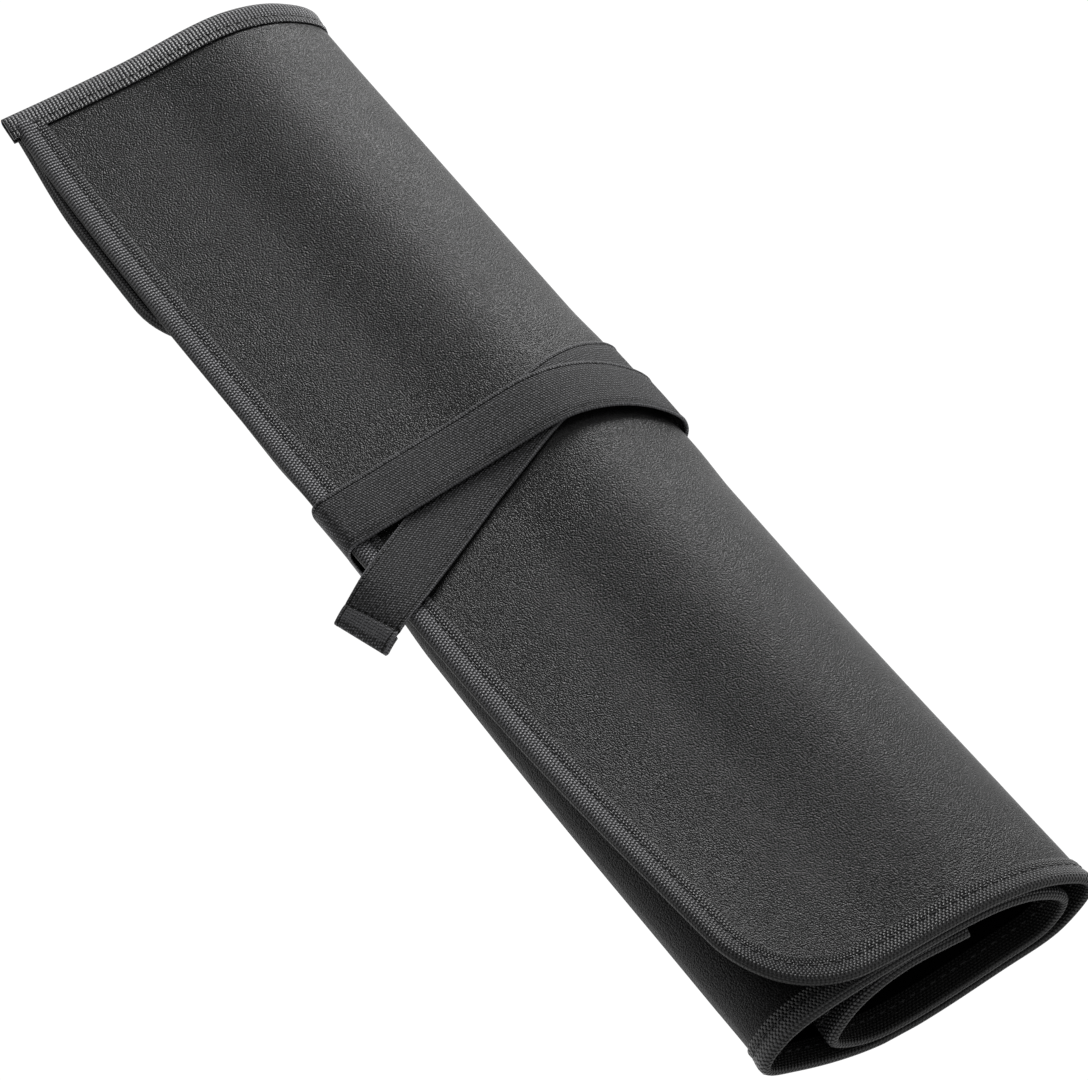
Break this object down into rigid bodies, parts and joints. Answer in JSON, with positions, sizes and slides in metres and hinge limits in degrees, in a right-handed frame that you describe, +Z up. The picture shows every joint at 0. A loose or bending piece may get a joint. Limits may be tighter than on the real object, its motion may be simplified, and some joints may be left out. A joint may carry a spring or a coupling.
{
  "type": "tool roll bag",
  "caption": "Soft imitation leather roll bag for barbecue tools, rolled up flat with bound edges, open ends and a wrapped elastic strap.",
  "frame": {"origin": "middle of the whole bag's box, on the surface that it lies on", "axes": "+X along the roll towards its wider, near end; -Y the front, where the flap's free edge lies; +Z up"},
  "size_m": [0.5, 0.162, 0.0527],
  "materials": {
    "leather": "fine pebble grain, soft sheen",
    "lining": "smooth woven lining, dull",
    "tape": "coarse woven binding tape, dull",
    "elastic": "fine knitted elastic, dull"
  },
  "bodies": {
    "root": {"outer_shell": "leather", "lining": "lining", "edge_binding": "tape", "far_end_binding": "tape", "inner_edge_binding": "tape", "cover_flap": "leather", "cover_flap_binding": "tape", "elastic_strap": "elastic"}
  },
  "joints": []
}
